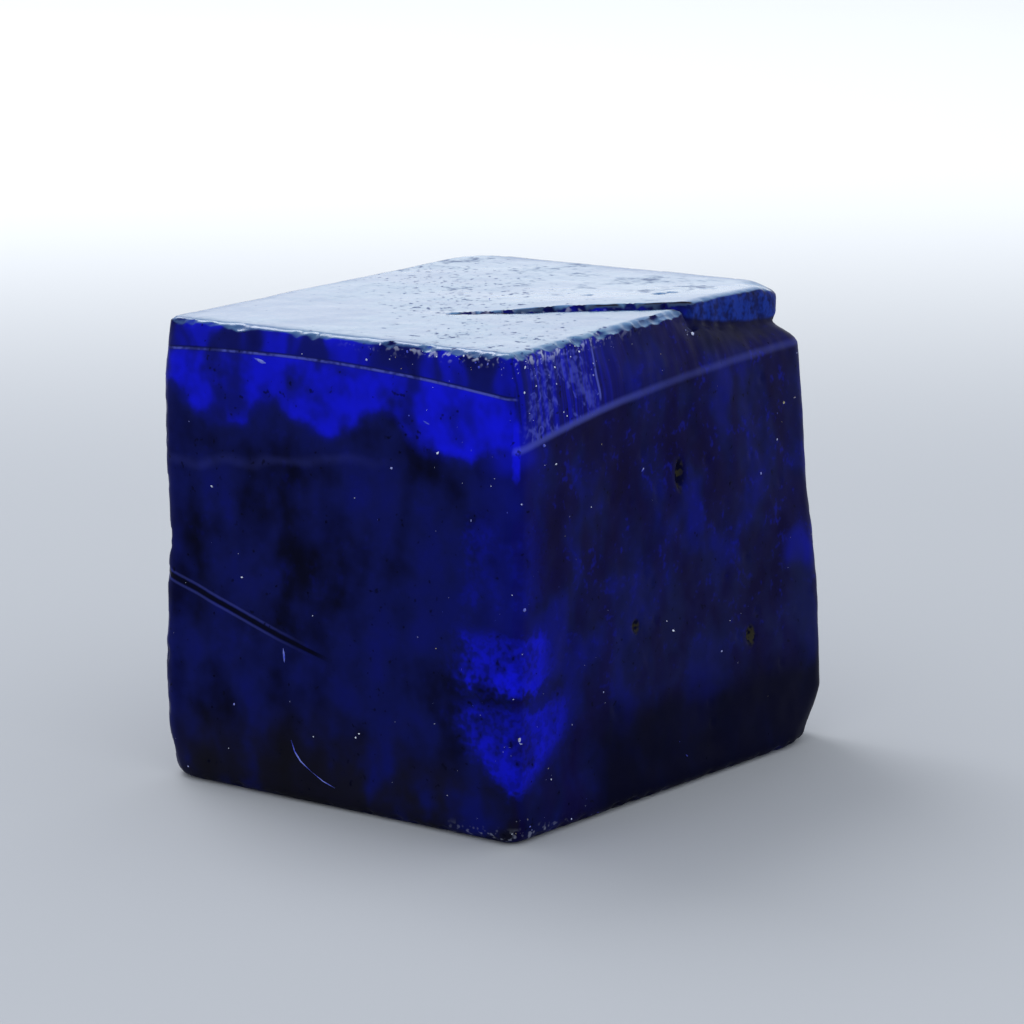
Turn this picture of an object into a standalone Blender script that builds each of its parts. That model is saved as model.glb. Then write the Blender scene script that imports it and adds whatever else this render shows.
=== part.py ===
"""Rough tanzanite: one broken block of blue zoisite, close to a cube, standing on its flattest face.

The row frame has +Z up and its origin at the middle of the footprint. The scratched side faces -Y, and
the side whose upper part slopes back in a band faces +X. The upright edge between those two is the front
edge. Above the band an old fracture runs through the block: it opens as a crack across the top and as a
notch under a loose-looking slab at the right-hand corner.

The walls are lofted through closed outlines from the base to the top, bridged with quads and closed by
two flat caps. The crack, the scratch and the pits are cut out of that.
"""

from math import cos, pi, radians, sin

import bmesh
import bpy
from mathutils import Matrix, Vector, noise

MM = 0.001

# Driving dimensions, in millimetres. The upright edges in plan, before rounding: at the base and the top.
HEIGHT = 26.1
EDGES = [
    (Vector((-12.9, -14.2)), Vector((-12.55, -13.65))),  # left
    (Vector((10.9, -13.7)), Vector((11.1, -13.6))),  # front
    (Vector((13.35, 14.2)), Vector((11.05, 14.1))),  # right
    (Vector((-12.3, 14.5)), Vector((-12.1, 14.3))),  # back
]
UPRIGHT_RADII = [0.9, 0.7, 1.2, 2.6]
BASE_RADIUS = 0.7
# How much rounder each upright edge gets towards its foot, over this height.
FOOT_WEAR = [1.2, 0.4, 2.3, 0.4]
FOOT_WEAR_HEIGHT = 3.2
TOP_RADIUS = 0.4
# The top falls by this much from the banded side to the plain side.
TOP_FALL = 0.35

# The four sides. Each starts at the edge with its own number.
SCRATCHED, BANDED, REAR, PLAIN = range(4)

# The band on the +X side: it starts at a line that climbs from the front edge, and leans inwards above it.
BAND_FRONT_HEIGHT = 21.0
BAND_RISE = 1.85
BAND_FRONT_SETBACK = 0.3
BAND_FAR_SETBACK = 1.05

# The fracture leaves the top rim at this share of the +X side and drops to the right-hand corner.
FRACTURE_START = 0.6
FRACTURE_DROP = 1.75
NOTCH_DEPTH = 0.3
NOTCH_HEIGHT = 0.15
SLAB_SETBACK = 1.25
SLAB_REAR_SETBACK = 0.1
NOTCH_WRAP = 0.4

# The crack across the top, from its closed tip to the rim.
CRACK_TIP = Vector((-0.1, -5.3, HEIGHT))
CRACK_MOUTH = Vector((9.1, 3.1, HEIGHT))
CRACK_WIDTH = 0.55
CRACK_DEPTH = 0.7

# The scratch on the -Y side, as (share of the side, height) of its closed tip and of its open end.
SCRATCH_TIP = (0.49, 8.4)
SCRATCH_MOUTH = (0.02, 11.9)
SCRATCH_WIDTH = 0.5
SCRATCH_DEPTH = 0.3

# Pits on the +X side: share of the side, height above the base, then width, height and depth.
PITS = [
    (0.52, 17.5, 0.75, 1.9, 0.4),
    (0.74, 7.3, 0.7, 1.2, 0.3),
    (0.37, 9.9, 0.6, 0.9, 0.3),
]

# Broad unevenness of the broken faces.
SWELL = 0.3
SWELL_LENGTH = 9.0
RIPPLE = 0.07
RIPPLE_LENGTH = 2.1

ARC_STEPS = 4
SIDE_STEPS = 15
WALL_STEPS = 12
BAND_STEPS = 3


def clear_scene():
    """Remove whatever the file holds, such as the startup cube."""
    for thing in list(bpy.data.objects):
        bpy.data.objects.remove(thing, do_unlink=True)


def smooth_step(low, high, value):
    """0 below low, 1 above high, and an S curve between them."""
    share = min(max((value - low) / (high - low), 0.0), 1.0)
    return share * share * (3 - 2 * share)


def levels(side, along):
    """Every outline's (height, rounding inset, extra inset) at one place on one side, from base to top."""
    # The heights follow the banded side, and the rear side brings them back to where they started.
    share = {BANDED: along, REAR: 1 - along}.get(side, 0.0)
    line = BAND_FRONT_HEIGHT + BAND_RISE * (1 - (1 - share) ** 2.6)
    drop = sin(0.5 * pi * max((share - FRACTURE_START) / (1 - FRACTURE_START), 0.0))
    fracture = HEIGHT - TOP_RADIUS - 0.1 - (FRACTURE_DROP - TOP_RADIUS) * drop
    opened = setback = slab = 0.0
    if side == BANDED:
        opened = smooth_step(FRACTURE_START - 0.02, FRACTURE_START + 0.1, share)
        setback = BAND_FRONT_SETBACK + (BAND_FAR_SETBACK - BAND_FRONT_SETBACK) * sin(0.5 * pi * share)
        slab = setback + (SLAB_SETBACK - setback) * opened
    elif side == REAR:
        opened = 1 - smooth_step(0.0, NOTCH_WRAP, along)
        setback = BAND_FAR_SETBACK * opened
        slab = SLAB_REAR_SETBACK * opened
    found = []
    for step in range(ARC_STEPS + 1):
        angle = radians(90 * step / ARC_STEPS)
        found.append((BASE_RADIUS * (1 - cos(angle)), BASE_RADIUS * (1 - sin(angle)), 0.0))
    for step in range(1, WALL_STEPS + 1):
        # The outlines crowd towards the foot, where the edges round off.
        found.append((BASE_RADIUS + (line - BASE_RADIUS) * (step / WALL_STEPS) ** 1.6, 0.0, 0.0))
    lip = fracture - NOTCH_HEIGHT * (0.5 + opened)
    for step in range(1, BAND_STEPS + 1):
        rise = step / BAND_STEPS
        # The setback grows slowly at first, which leaves a rounded shoulder.
        found.append((line + (lip - line) * rise, 0.0, setback * rise**1.5))
    found.append((fracture, 0.0, max(setback, slab) + opened * NOTCH_DEPTH))
    found.append((fracture + 0.05, 0.0, slab))
    for step in range(ARC_STEPS + 1):
        angle = radians(90 * step / ARC_STEPS)
        height = HEIGHT - TOP_RADIUS * (1 - sin(angle))
        found.append((height, TOP_RADIUS * (1 - cos(angle)), slab))
    return found


def edges_at(height):
    """The four upright edges in plan at one height."""
    return [low.lerp(high, height / HEIGHT) for low, high in EDGES]


def outward(edges, side):
    """The direction that faces out of one side, in plan."""
    along = (edges[(side + 1) % 4] - edges[side]).normalized()
    return Vector((along.y, -along.x))


def corner_arc(index, height, rounding, before_inset, after_inset):
    """Centre, radius and the two outward directions of one rounded corner, with each side moved inwards."""
    edges = edges_at(height)
    out_before, out_after = outward(edges, (index + 3) % 4), outward(edges, index)
    turn = out_before.dot(out_after)
    # The corner where both moved lines meet.
    before, after = before_inset + rounding, after_inset + rounding
    share = 1 - turn * turn
    shift = out_before * ((turn * after - before) / share) + out_after * ((turn * before - after) / share)
    full = UPRIGHT_RADII[index] + FOOT_WEAR[index] * (1 - smooth_step(0.0, FOOT_WEAR_HEIGHT, height))
    radius = max(full - rounding, 0.25 * full)
    centre = edges[index] + shift - (out_before + out_after) * (radius / (1 + turn))
    return centre, radius, out_before, out_after


def side_point(side, along, level):
    """One point between two corners of an outline, and its outward direction."""
    height, rounding, inset = levels(side, along)[level]
    start_inset, end_inset = levels(side, 0.0)[level][2], levels(side, 1.0)[level][2]
    before_inset = levels((side + 3) % 4, 1.0)[level][2]
    after_inset = levels((side + 1) % 4, 0.0)[level][2]
    centre, radius, _, out = corner_arc(side, height, rounding, before_inset, start_inset)
    start = centre + out * radius
    centre, radius, out, _ = corner_arc((side + 1) % 4, height, rounding, end_inset, after_inset)
    end = centre + out * radius
    extra = inset - (start_inset + (end_inset - start_inset) * along)
    return Vector((*(start.lerp(end, along) - out * extra), height)), out


def outline(level):
    """One closed outline, corner arc then side, as points with their outward directions."""
    found = []
    for side in range(4):
        height, rounding, start_inset = levels(side, 0.0)[level]
        before_inset = levels((side + 3) % 4, 1.0)[level][2]
        centre, radius, out_before, out_after = corner_arc(side, height, rounding, before_inset, start_inset)
        for step in range(ARC_STEPS + 1):
            out = out_before.slerp(out_after, step / ARC_STEPS)
            found.append((Vector((*(centre + out * radius), height)), out))
        for step in range(1, SIDE_STEPS):
            found.append(side_point(side, step / SIDE_STEPS, level))
    return found


def unevenness(point):
    """How far a wall point stands out: slow swells and fine ripples, none at the caps."""
    slow = noise.noise(point / SWELL_LENGTH)
    fine = noise.noise(point / RIPPLE_LENGTH + Vector((17.0, 5.0, 3.0)))
    inside = smooth_step(0.0, 2.5, point.z) * smooth_step(0.0, 2.5, HEIGHT - point.z)
    return (SWELL * slow + RIPPLE * fine) * inside


def on_side(side, along, height):
    """A point on the plain part of one side, and the direction out of it."""
    edges = edges_at(height)
    flat = Vector((*outward(edges, side), 0.0))
    point = Vector((*edges[side].lerp(edges[(side + 1) % 4], along), height))
    return point + flat * unevenness(point), flat


def linked(name, shape):
    """An object holding this shape, in the scene."""
    mesh = bpy.data.meshes.new(name)
    shape.to_mesh(mesh)
    shape.free()
    thing = bpy.data.objects.new(name, mesh)
    bpy.context.scene.collection.objects.link(thing)
    return thing


def build_block():
    """The lofted block, as one closed mesh in metres."""
    shape = bmesh.new()
    rings = []
    for level in range(len(levels(BANDED, 0.0))):
        ring = []
        for point, out in outline(level):
            point += Vector((*out, 0.0)) * unevenness(point)
            ring.append(shape.verts.new(point * MM))
        rings.append(ring)
    count = len(rings[0])
    for lower, upper in zip(rings, rings[1:]):
        for here in range(count):
            after = (here + 1) % count
            shape.faces.new((lower[here], lower[after], upper[after], upper[here]))
    shape.faces.new(reversed(rings[0]))
    shape.faces.new(rings[-1])
    bmesh.ops.recalc_face_normals(shape, faces=shape.faces)
    return linked("rough_tanzanite", shape)


def as_cutter(thing):
    """Keep a cutter out of the model."""
    thing.hide_render = True
    thing.display_type = "WIRE"
    return thing


def groove_cutter(name, tip, mouth, outward, width, depth):
    """A sliver that cuts a V groove: closed at its tip, and width wide and depth deep at its mouth."""
    along = (mouth - tip).normalized()
    across = along.cross(outward).normalized()
    # Above the face the flanks carry on at the same slope, so that the cut reaches clear of it.
    end = mouth + along * 1.5
    flank = across * (width * 1.25)
    lift = outward * (1.5 * depth)
    shape = bmesh.new()
    low_tip = shape.verts.new((tip - outward * 0.1) * MM)
    high_tip = shape.verts.new((tip + lift) * MM)
    keel = shape.verts.new((end - outward * depth) * MM)
    near = shape.verts.new((end + flank + lift) * MM)
    far = shape.verts.new((end - flank + lift) * MM)
    for corners in (
        (low_tip, keel, near),
        (low_tip, near, high_tip),
        (low_tip, high_tip, far),
        (low_tip, far, keel),
        (high_tip, near, far),
        (keel, far, near),
    ):
        shape.faces.new(corners)
    bmesh.ops.recalc_face_normals(shape, faces=shape.faces)
    return as_cutter(linked(name, shape))


def pit_cutter(name, along, up, width, height, depth):
    """A small round-bottomed hollow in the +X side."""
    centre, _ = on_side(BANDED, along, up)
    shape = bmesh.new()
    size = Matrix.Diagonal((2 * depth, width, height, 1.0)) * MM
    size[3][3] = 1.0
    placed = Matrix.Translation(centre * MM) @ size
    bmesh.ops.create_icosphere(shape, subdivisions=2, radius=0.5, matrix=placed)
    return as_cutter(linked(name, shape))


def cut(block, cutter):
    """Take the cutter's shape out of the block."""
    modifier = block.modifiers.new(cutter.name, "BOOLEAN")
    modifier.operation = "DIFFERENCE"
    modifier.solver = "EXACT"
    modifier.object = cutter


def slope_top(thing):
    """Lower the higher points, more so towards the plain side, which leaves the base as it is."""
    for vertex in thing.data.vertices:
        x, _, z = vertex.co / MM
        across = (EDGES[1][1].x - x) / (EDGES[1][1].x - EDGES[0][1].x)
        vertex.co.z -= TOP_FALL * MM * across * z / HEIGHT


def centre_on_footprint(block, cutters):
    """Move every mesh so that the block's own box is centred over the origin and stands on z = 0."""
    points = [vertex.co for vertex in block.data.vertices]
    low = Vector([min(point[axis] for point in points) for axis in range(3)])
    high = Vector([max(point[axis] for point in points) for axis in range(3)])
    middle = Vector(((low.x + high.x) / 2, (low.y + high.y) / 2, low.z))
    for thing in (block, *cutters):
        thing.data.transform(Matrix.Translation(-middle))
    return middle


def tanzanite_material():
    """Deep violet-blue, glossy stone."""
    material = bpy.data.materials.new("tanzanite")
    material.use_nodes = True
    surface = material.node_tree.nodes["Principled BSDF"]
    surface.inputs["Base Color"].default_value = (0.006, 0.008, 0.16, 1.0)
    surface.inputs["Roughness"].default_value = 0.22
    surface.inputs["Metallic"].default_value = 0.0
    return material


def main():
    clear_scene()
    block = build_block()
    tip, out = on_side(SCRATCHED, *SCRATCH_TIP)
    mouth, _ = on_side(SCRATCHED, *SCRATCH_MOUTH)
    cutters = [
        groove_cutter("crack_cutter", CRACK_TIP, CRACK_MOUTH, Vector((0, 0, 1)), CRACK_WIDTH, CRACK_DEPTH),
        groove_cutter("scratch_cutter", tip, mouth, out, SCRATCH_WIDTH, SCRATCH_DEPTH),
    ]
    for number, pit in enumerate(PITS):
        cutters.append(pit_cutter(f"pit_cutter_{number}", *pit))
    for thing in (block, *cutters):
        slope_top(thing)
    middle = centre_on_footprint(block, cutters)
    print("centred by", [round(1000 * value, 3) for value in middle])
    for cutter in cutters:
        cut(block, cutter)
    block.data.materials.append(tanzanite_material())
    block.data.shade_smooth()
    block.data.set_sharp_from_angle(angle=radians(35))


main()
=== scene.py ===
"""Rough tanzanite: the skin, the inner veils, the dust and the studio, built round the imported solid.

Sizes inside the functions are millimetres. The scratched side faces -Y, the side with the sloping band
faces +X, and the worn upright edge between them is called the front edge.
"""

from math import cos, pi, radians, sin

import bmesh
import bpy
import numpy as np
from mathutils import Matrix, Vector, noise
from mathutils.bvhtree import BVHTree


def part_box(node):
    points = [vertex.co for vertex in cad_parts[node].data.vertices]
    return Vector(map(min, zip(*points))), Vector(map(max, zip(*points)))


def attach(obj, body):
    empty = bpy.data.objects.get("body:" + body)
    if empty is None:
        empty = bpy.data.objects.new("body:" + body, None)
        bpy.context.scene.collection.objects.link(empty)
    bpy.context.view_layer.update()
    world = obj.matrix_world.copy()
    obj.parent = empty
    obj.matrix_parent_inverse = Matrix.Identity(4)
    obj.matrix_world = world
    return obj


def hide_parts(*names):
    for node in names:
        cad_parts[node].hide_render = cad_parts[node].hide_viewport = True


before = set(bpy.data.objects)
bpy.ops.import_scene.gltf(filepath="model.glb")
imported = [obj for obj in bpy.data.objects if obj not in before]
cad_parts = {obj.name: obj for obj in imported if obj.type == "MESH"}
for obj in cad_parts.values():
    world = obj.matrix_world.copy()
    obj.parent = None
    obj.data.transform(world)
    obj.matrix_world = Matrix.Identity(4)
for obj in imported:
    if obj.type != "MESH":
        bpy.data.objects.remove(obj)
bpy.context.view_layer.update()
STONE = "rough_tanzanite"
MM = 0.001

LOW = np.array(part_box(STONE)[0]) / MM
HIGH = np.array(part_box(STONE)[1]) / MM
TOP = float(HIGH[2])

# The front edge in plan, and how the light line on the banded side climbs away from it.
FRONT_X, FRONT_Y = 10.95, -13.75
BAND_FOOT, BAND_RISE = 21.0, 1.85
BAND_LENGTH = 28.0

# The scratched side's bright shelf: the greatest height of the light line over it, and of its lobed foot.
SHELF_TOP, SHELF_FOOT = 24.5, 22.3
# The fainter light line under the shelf, at the middle of the side, and how it climbs along X.
FAINT_LINE, FAINT_CLIMB = 19.3, 0.12
# The long scratch: where its open end is along X and up, and how it falls along X.
SCRATCH_END, SCRATCH_HEIGHT, SCRATCH_FALL = -12.6, 11.60, 0.294

# The heights between which each bright patch on the front edge lies.
UPPER_PATCH, MIDDLE_PATCH, LOWER_PATCH = (12.2, 18.2), (8.2, 11.6), (2.6, 7.6)

# On the banded side, along Y and up: the bright spot by the far edge, and the short upright light line.
FAR_SPOT = (11.8, 11.3)
UPRIGHT_LINE = (-6.35, 24.0)

# The broken sides hardly shine, and what shine they have is blue.
SIDE_GLOSS = 0.006
SIDE_TINT = (0.12, 0.14, 0.45)

# How the slab's wall meets the notch: its foot at the far edge, and how much higher it is where it starts.
WALL_END, WALL_LENGTH, WALL_FOOT, WALL_CLIMB = 14.0, 11.0, 24.2, 1.4

# Depths of the relief: broad, fine, the band's upright steps, and its rough patch.
BROAD_DEPTH, FINE_DEPTH, STEP_DEPTH, TORN_DEPTH = 0.07, 0.014, 0.03, 0.08

# The crack across the top: its closed tip, and its direction in plan.
CRACK_TIP = (-0.1, -5.4)
CRACK_WAY = (0.738, 0.674)

# The slab's worn far corner, in plan.
SLAB_CORNER = (9.9, 13.7)

# Dark pits in the banded side, with olive dirt in part: their place along Y and up, and their half sizes.
PITS = ((0.67, 17.5, 0.42, 1.05), (6.9, 7.3, 0.4, 0.7), (-3.5, 9.9, 0.35, 0.5))

bl_info = {
    "name": "Rough Tanzanite",
    "version": (1, 0, 0),
    "blender": (4, 5, 0),
    "location": "3D View > Sidebar > Tanzanite",
    "description": "A broken block of blue zoisite with its inner veils, dust and studio",
    "category": "Add Mesh",
}


# ---------------------------------------------------------------- shader maths


class Value:
    """A shader socket that can be used in arithmetic."""

    def __init__(self, graph, socket):
        self.graph = graph
        self.socket = socket

    def __add__(self, other):
        return self.graph.math("ADD", self, other)

    def __sub__(self, other):
        return self.graph.math("SUBTRACT", self, other)

    def __rsub__(self, other):
        return self.graph.math("SUBTRACT", other, self)

    def __mul__(self, other):
        return self.graph.math("MULTIPLY", self, other)

    def __truediv__(self, other):
        return self.graph.math("DIVIDE", self, other)

    __radd__ = __add__
    __rmul__ = __mul__


class Graph:
    """A material's node tree, with short ways to add what the stone's finishes use."""

    def __init__(self, name):
        self.material = bpy.data.materials.new(name)
        self.material.use_nodes = True
        self.tree = self.material.node_tree
        self.shader = self.tree.nodes["Principled BSDF"]
        self.exit = self.tree.nodes["Material Output"]

    def add(self, kind, settings=None, sockets=None, output=0):
        """One node: its settings first, then values or links for its sockets. Returns one of its outputs."""
        node = self.tree.nodes.new(kind)
        for name, value in (settings or {}).items():
            setattr(node, name, value)
        for name, value in (sockets or {}).items():
            self.put(node.inputs[name], value)
        return Value(self, node.outputs[output])

    def put(self, socket, value):
        """Link a Value to a socket, or set the socket's own number or colour."""
        if isinstance(value, Value):
            self.tree.links.new(value.socket, socket)
        elif socket.type == "RGBA":
            socket.default_value = (*value, 1.0)
        else:
            socket.default_value = value

    def math(self, operation, first, second=0.0):
        return self.add("ShaderNodeMath", {"operation": operation}, {0: first, 1: second})

    def most(self, first, second):
        return self.math("MAXIMUM", first, second)

    def size(self, value):
        return self.math("ABSOLUTE", value)

    def power(self, value, exponent):
        return self.math("POWER", value, exponent)

    def ease(self, value, low, high):
        """0 where the value is at low, 1 where it is at high, with a soft curve between, either way round."""
        settings = {"interpolation_type": "SMOOTHSTEP", "clamp": True}
        return self.add("ShaderNodeMapRange", settings, {"Value": value, 1: low, 2: high, 3: 0.0, 4: 1.0})

    def near(self, value, reach, core=0.0):
        """1 where the value is within core of 0, falling softly to 0 at reach."""
        return self.ease(self.size(value), reach, core)

    def window(self, value, low, high, soft):
        """1 between low and high, with soft shoulders outside them."""
        return self.ease(value, low - soft, low + soft) * self.ease(value, high + soft, high - soft)

    def place(self):
        """Object coordinates in millimetres."""
        spot = self.add("ShaderNodeTexCoord", output="Object")
        return self.stretch(spot, (1000.0, 1000.0, 1000.0))

    def facing(self):
        """The surface's own outward direction, as three values."""
        return self.split(self.add("ShaderNodeTexCoord", output="Normal"))

    def stretch(self, vector, factors):
        return self.add("ShaderNodeVectorMath", {"operation": "MULTIPLY"}, {0: vector, 1: factors})

    def shift(self, vector, other):
        return self.add("ShaderNodeVectorMath", {"operation": "ADD"}, {0: vector, 1: other})

    def split(self, vector):
        node = self.add("ShaderNodeSeparateXYZ", None, {0: vector}).socket.node
        return [Value(self, socket) for socket in node.outputs]

    def cloud(self, vector, scale, detail, rough=0.55):
        """Fractal noise from 0 to 1. Its scale is in lumps per millimetre."""
        sockets = {"Vector": vector, "Scale": scale, "Detail": detail, "Roughness": rough}
        return self.add("ShaderNodeTexNoise", {"noise_dimensions": "3D"}, sockets)

    def threads(self, value, scale, detail):
        """Noise along one value only, from 0 to 1, for stripes."""
        sockets = {"W": value, "Scale": scale, "Detail": detail}
        return self.add("ShaderNodeTexNoise", {"noise_dimensions": "1D"}, sockets)

    def wander(self, vector, scale, amount):
        """The same vector, pushed about by smooth noise of this many millimetres."""
        sockets = {"Vector": vector, "Scale": scale, "Detail": 0.0}
        push = self.add("ShaderNodeTexNoise", None, sockets, "Color")
        centred = self.shift(push, (-0.5, -0.5, -0.5))
        return self.shift(vector, self.stretch(centred, (2 * amount,) * 3))

    def blend(self, share, first, second):
        """The first colour where share is 0, the second where it is 1."""
        settings = {"data_type": "RGBA", "blend_type": "MIX", "clamp_factor": True}
        return self.add("ShaderNodeMix", settings, {0: share, 6: first, 7: second}, output=2)

    def bump(self, height, distance):
        """Fine relief. The height runs from 0 to 1 and the distance is in millimetres."""
        sockets = {"Height": height, "Distance": distance * MM, "Strength": 1.0}
        return self.add("ShaderNodeBump", None, sockets)

    def finish(self, **sockets):
        """Fill the shader's sockets. Underscores stand for the spaces in their names."""
        for name, value in sockets.items():
            self.put(self.shader.inputs[name.replace("_", " ")], value)
        return self.material


# ---------------------------------------------------------------- the stone's skin


def merged_copy(node):
    """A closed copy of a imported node's mesh."""
    shape = bmesh.new()
    shape.from_mesh(node.data)
    bmesh.ops.remove_doubles(shape, verts=shape.verts, dist=1e-7)
    mesh = bpy.data.meshes.new(node.name + "_copy")
    shape.to_mesh(mesh)
    shape.free()
    return mesh


def as_plain_mesh(thing, name):
    """The evaluated mesh of an object, with the object itself removed."""
    graph = bpy.context.evaluated_depsgraph_get()
    mesh = bpy.data.meshes.new_from_object(thing.evaluated_get(graph))
    bpy.data.objects.remove(thing)
    mesh.name = name
    return mesh


def fine_skin(node, cell):
    """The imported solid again, as an even mesh of small quads."""
    thing = bpy.data.objects.new("fine_skin", merged_copy(node))
    bpy.context.scene.collection.objects.link(thing)
    remesh = thing.modifiers.new("even", "REMESH")
    remesh.mode = "VOXEL"
    remesh.voxel_size = cell
    return as_plain_mesh(thing, "tanzanite_skin")


def read_points(mesh):
    points = np.empty(len(mesh.vertices) * 3, np.float32)
    mesh.vertices.foreach_get("co", points)
    return points.reshape(-1, 3).astype(float) / MM


def read_normals(mesh):
    normals = np.empty(len(mesh.vertices) * 3, np.float32)
    mesh.vertex_normals.foreach_get("vector", normals)
    return normals.reshape(-1, 3).astype(float)


def ease(value, low, high):
    share = np.clip((value - low) / (high - low), 0.0, 1.0)
    return share * share * (3 - 2 * share)


def lumps(points, length, octaves, offset):
    """Fractal noise about 0 at each point, with lumps of this length."""
    moved = points / length + np.array(offset)
    return np.array([noise.fractal(spot, 1.0, 2.0, octaves) for spot in map(tuple, moved)])


def scoop(points, centre, radius):
    """Push every point inside a ball out to its surface, which leaves a shell-shaped chip."""
    away = points - centre
    distance = np.linalg.norm(away, axis=1)
    inside = (distance < radius) & (distance > 1e-6)
    points[inside] = centre + away[inside] * (radius / distance[inside])[:, None]


def edge_spot(points, axis, at, outward):
    """The point of the skin that stands out furthest, in one direction, near one place along an axis."""
    near = points[np.abs(points[:, axis] - at) < 0.3]
    return near[np.argmax(near @ outward)]


def chip_edges(points, settings, dice):
    """Scoop small chips along the stone's edges. Each edge has its own spacing, size and depth."""
    edges = (
        # axis, from, to, outward, how many, radius range, depth range
        (0, -12.0, 10.6, (0, -1, 1), 34, (0.25, 0.9), (0.03, 0.20)),
        (1, -13.0, 3.4, (1, 0, 1), 30, (0.25, 1.1), (0.03, 0.24)),
        (1, 3.6, 13.0, (1, 0, 1), 9, (0.25, 0.7), (0.02, 0.10)),
        (2, 1.0, 25.0, (1, -1, 0), 38, (0.2, 0.8), (0.02, 0.14)),
        (2, 1.0, 25.0, (-1, -1, 0), 15, (0.7, 1.5), (0.06, 0.17)),
        (2, 1.0, 23.5, (1, 1, 0), 14, (0.4, 1.3), (0.03, 0.12)),
        (2, 1.0, 25.0, (-1, 1, 0), 14, (0.4, 1.3), (0.03, 0.14)),
        (0, -12.0, 9.0, (0, 1, 1), 22, (0.3, 1.1), (0.03, 0.20)),
        (1, -13.0, 12.0, (-1, 0, 1), 26, (0.3, 1.0), (0.03, 0.18)),
        (0, -12.0, 10.6, (0, -1, -1), 16, (0.3, 1.0), (0.03, 0.16)),
        (1, -13.0, 12.5, (1, 0, -1), 18, (0.3, 1.2), (0.03, 0.20)),
    )
    for axis, start, end, outward, count, sizes, depths in edges:
        direction = np.array(outward) / np.linalg.norm(outward)
        for number in range(count):
            at = start + (end - start) * (number + dice.uniform(0.1, 0.9)) / count
            radius = dice.uniform(*sizes)
            depth = dice.uniform(*depths) * settings.chip_depth
            spot = edge_spot(points, axis, at, direction)
            scoop(points, spot + direction * (radius - depth), radius)


def pit_faces(points, settings, dice):
    """Scoop shallow pits in the top and the banded side."""
    for _ in range(46):
        x, y = dice.uniform(-12, 9), dice.uniform(-13, 13)
        # Most pits crowd towards the front corner of the top.
        if dice.random() < 0.6:
            x, y = dice.uniform(0, 10), dice.uniform(-13.2, -6)
        radius, depth = dice.uniform(0.25, 0.6), dice.uniform(0.03, 0.10)
        scoop(points, np.array([x, y, TOP + radius - depth * settings.chip_depth]), radius)
    for _ in range(60):
        y, z = dice.uniform(-12.5, 12.5), dice.uniform(3, 22)
        near = points[(np.abs(points[:, 1] - y) < 0.2) & (np.abs(points[:, 2] - z) < 0.2)]
        radius, depth = dice.uniform(0.25, 0.7), dice.uniform(0.03, 0.10)
        x = near[:, 0].max() + radius - depth * settings.chip_depth
        scoop(points, np.array([x, y, z]), radius)


def roughen(points, normals, settings):
    """Broad and fine unevenness along the skin's own directions. The foot stays flat."""
    standing = ease(points[:, 2], 0.15, 1.6)
    flatter_top = 1 - 0.55 * ease(normals[:, 2], 0.6, 0.9)
    broad = BROAD_DEPTH * lumps(points, 4.2, 3, (3.0, 9.0, 1.0))
    fine = FINE_DEPTH * lumps(points, 0.9, 3, (13.0, 2.0, 7.0))
    # Fine upright steps in the sloping band.
    streaks = points * np.array([1.0, 1.0, 0.12])
    banded = ease(normals[:, 0], 0.5, 0.9) * ease(points[:, 2], 21.5, 23.5)
    steps = STEP_DEPTH * banded * lumps(streaks, 0.55, 2, (5.0, 5.0, 5.0))
    # A rougher patch of the band beside the front edge.
    y = points[:, 1]
    torn = banded * ease(y, -13.2, -12.0) * (1 - ease(y, -6.9, -6.2))
    torn = TORN_DEPTH * torn * lumps(points, 1.3, 4, (1.0, 8.0, 4.0))
    height = (broad + fine) * flatter_top + steps + torn
    points += normals * (height * standing * settings.relief)[:, None]


def lift_slab(points, settings):
    """Raise the top beyond the crack, which bares its far wall, and wear the slab's far corner down."""
    along = np.array(CRACK_WAY)
    offset = points[:, :2] - np.array(CRACK_TIP)
    far = offset @ np.array((-along[1], along[0]))
    reach = offset @ along
    wobble = 0.35 * lumps(points, 2.4, 2, (6.0, 1.0, 2.0))
    rise = ease(far + wobble, -0.05, 0.25) * (1 - ease(far, 1.5, 9.0)) * ease(reach, 0.0, 8.0)
    points[:, 2] += settings.slab_lift / MM * rise * ease(points[:, 2], TOP - 1.2, TOP - 0.4)
    corner = np.hypot(points[:, 0] - SLAB_CORNER[0], points[:, 1] - SLAB_CORNER[1]) + 2 * wobble
    wear = settings.corner_wear / MM * (1 - ease(corner, 0.0, 2.8))
    points[:, 2] -= wear * ease(points[:, 2], TOP - 1.3, TOP)


def open_cracks(points, settings):
    """Deepen the crack across the top, so that its walls hide its floor."""
    along = np.array(CRACK_WAY)
    offset = points[:, :2] - np.array(CRACK_TIP)
    across = np.abs(offset @ np.array((-along[1], along[0])) + 0.25 * lumps(points, 1.9, 3, (2.0, 7.0, 9.0)))
    reach = offset @ along
    half = 0.10 + 0.022 * np.clip(reach, 0.0, 14.0)
    open_here = ease(reach, 0.2, 1.2) * (1 - ease(across, half * 0.6, half * 1.4))
    points[:, 2] -= settings.crack_depth / MM * open_here * ease(points[:, 2], TOP - 1.4, TOP - 0.8)


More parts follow.
